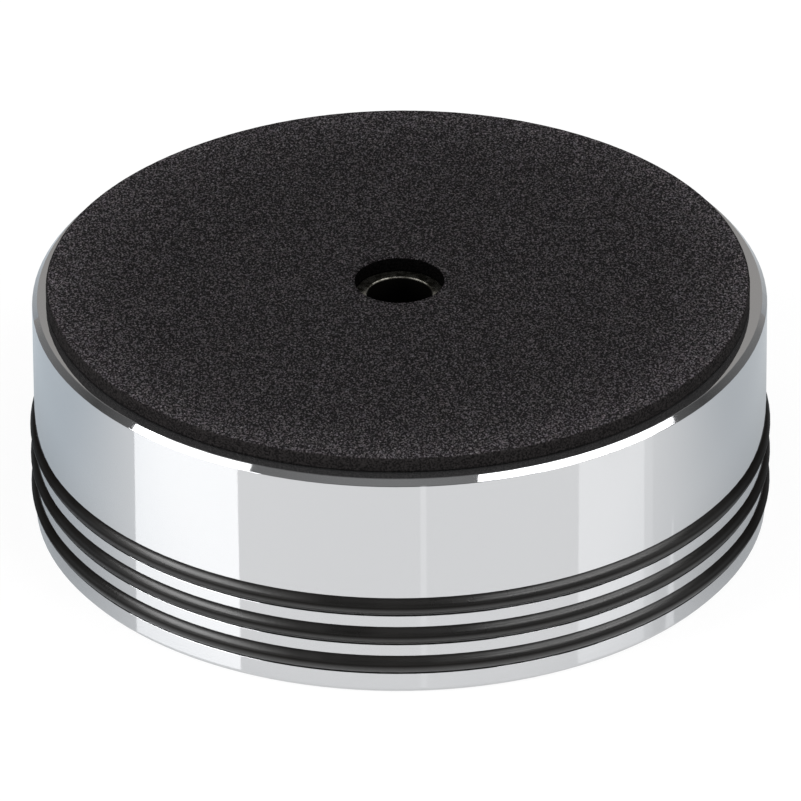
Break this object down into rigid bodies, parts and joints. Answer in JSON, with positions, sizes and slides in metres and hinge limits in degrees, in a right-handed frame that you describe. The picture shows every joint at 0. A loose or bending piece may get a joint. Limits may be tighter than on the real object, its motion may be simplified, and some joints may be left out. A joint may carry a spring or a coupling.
{
  "type": "record weight clamp",
  "caption": "Turned metal disc with rubber grip rings and a foam pad, dropped over the spindle of a record player to hold a record flat.",
  "frame": {"origin": "centre of the outer face, the one without the pad, on which the part lies upside down", "axes": "+Z along the spindle bore, out of its mouth and through the foam pad"},
  "size_m": [0.085, 0.085, 0.0296],
  "materials": {
    "polished_metal": "turned and polished to a mirror",
    "foam_rubber": "matte, fine-celled foam",
    "ring_rubber": "smooth, satin"
  },
  "bodies": {
    "root": {"weight_body": "polished_metal", "foam_pad": "foam_rubber", "o_ring_upper": "ring_rubber", "o_ring_middle": "ring_rubber", "o_ring_lower": "ring_rubber"}
  },
  "joints": []
}
